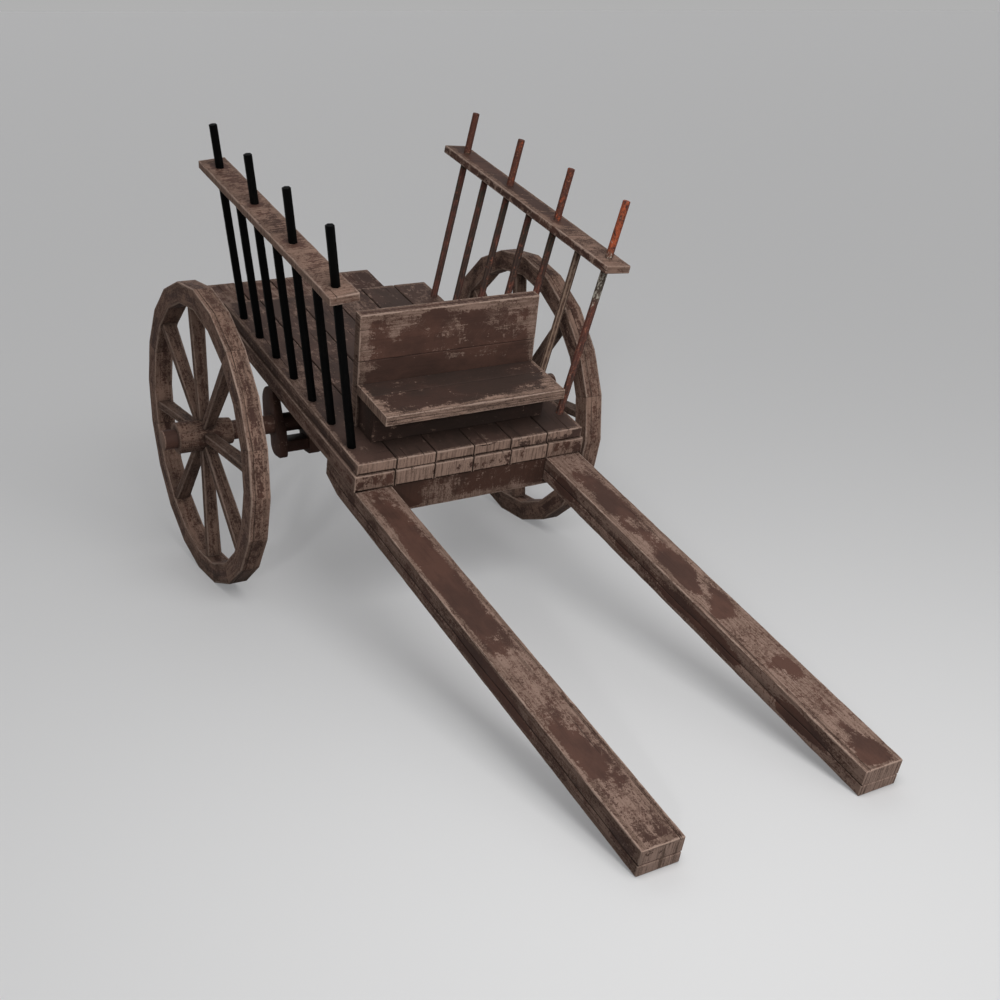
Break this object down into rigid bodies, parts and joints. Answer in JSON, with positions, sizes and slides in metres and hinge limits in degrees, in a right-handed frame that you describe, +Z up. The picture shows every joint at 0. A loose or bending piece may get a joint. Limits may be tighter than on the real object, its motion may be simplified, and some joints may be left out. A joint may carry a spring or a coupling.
{
  "type": "bullock cart",
  "caption": "Two-wheeled wooden bullock cart with a plank deck, driver's bench, leaning side racks and two shafts, parked nose-down on its shaft tips.",
  "frame": {"origin": "on the floor, at the middle of the parked cart's bounding box", "axes": "+X forward towards the shaft tips, +Y to the cart's left, +Z up; the cart is stored as it parks, tipped 15 degrees nose-down"},
  "size_m": [3.8096, 2.056, 2.0307],
  "materials": {
    "deck_wood": "weathered boards, red-brown with pale worn edges",
    "seat_wood": "weathered boards, red-brown with pale worn edges",
    "frame_wood": "weathered beams, red-brown with pale worn edges",
    "wheel_wood": "weathered wood, pale worn edges",
    "black_iron": "blackened, dull",
    "rusty_iron": "rusted, brown-red with orange tops"
  },
  "bodies": {
    "cart": {"axle": "frame_wood", "deck_lower_plank_1": "deck_wood", "deck_lower_plank_2": "deck_wood", "deck_lower_plank_3": "deck_wood", "deck_lower_plank_4": "deck_wood", "deck_lower_plank_5": "deck_wood", "deck_lower_plank_6": "deck_wood", "deck_upper_plank_1": "deck_wood", "deck_upper_plank_2": "deck_wood", "deck_upper_plank_3": "deck_wood", "deck_upper_plank_4": "deck_wood", "deck_upper_plank_5": "deck_wood", "deck_upper_plank_6": "deck_wood", "front_cross_board": "frame_wood", "hanger_inner_cheek_left": "frame_wood", "hanger_inner_cheek_right": "frame_wood", "hanger_keeper_left": "frame_wood", "hanger_keeper_right": "frame_wood", "hanger_outer_cheek_left": "frame_wood", "hanger_outer_cheek_right": "frame_wood", "rack_rail_left": "deck_wood", "rack_rail_right": "deck_wood", "rack_stakes_left": "rusty_iron", "rack_stakes_right": "black_iron", "seat_back_lower_board": "seat_wood", "seat_back_upper_board": "seat_wood", "seat_box_front": "seat_wood", "seat_box_side_left": "seat_wood", "seat_box_side_right": "seat_wood", "seat_front_board": "seat_wood", "seat_rear_board": "seat_wood", "shaft_left": "frame_wood", "shaft_right": "frame_wood"},
    "wheel_left": {"wheel_left_felloes_a": "wheel_wood", "wheel_left_felloes_b": "wheel_wood", "wheel_left_nave": "wheel_wood", "wheel_left_spokes": "wheel_wood"},
    "wheel_right": {"wheel_right_felloes_a": "wheel_wood", "wheel_right_felloes_b": "wheel_wood", "wheel_right_nave": "wheel_wood", "wheel_right_spokes": "wheel_wood"}
  },
  "joints": [
    {"name": "wheel_left_turn", "type": "hinge", "parent": "cart", "child": "wheel_left", "pos_m": [-1.09899, 0.83, 0.682], "axis": [0, 1, 0], "continuous": true},
    {"name": "wheel_right_turn", "type": "hinge", "parent": "cart", "child": "wheel_right", "pos_m": [-1.09899, -0.83, 0.682], "axis": [0, 1, 0], "continuous": true}
  ]
}
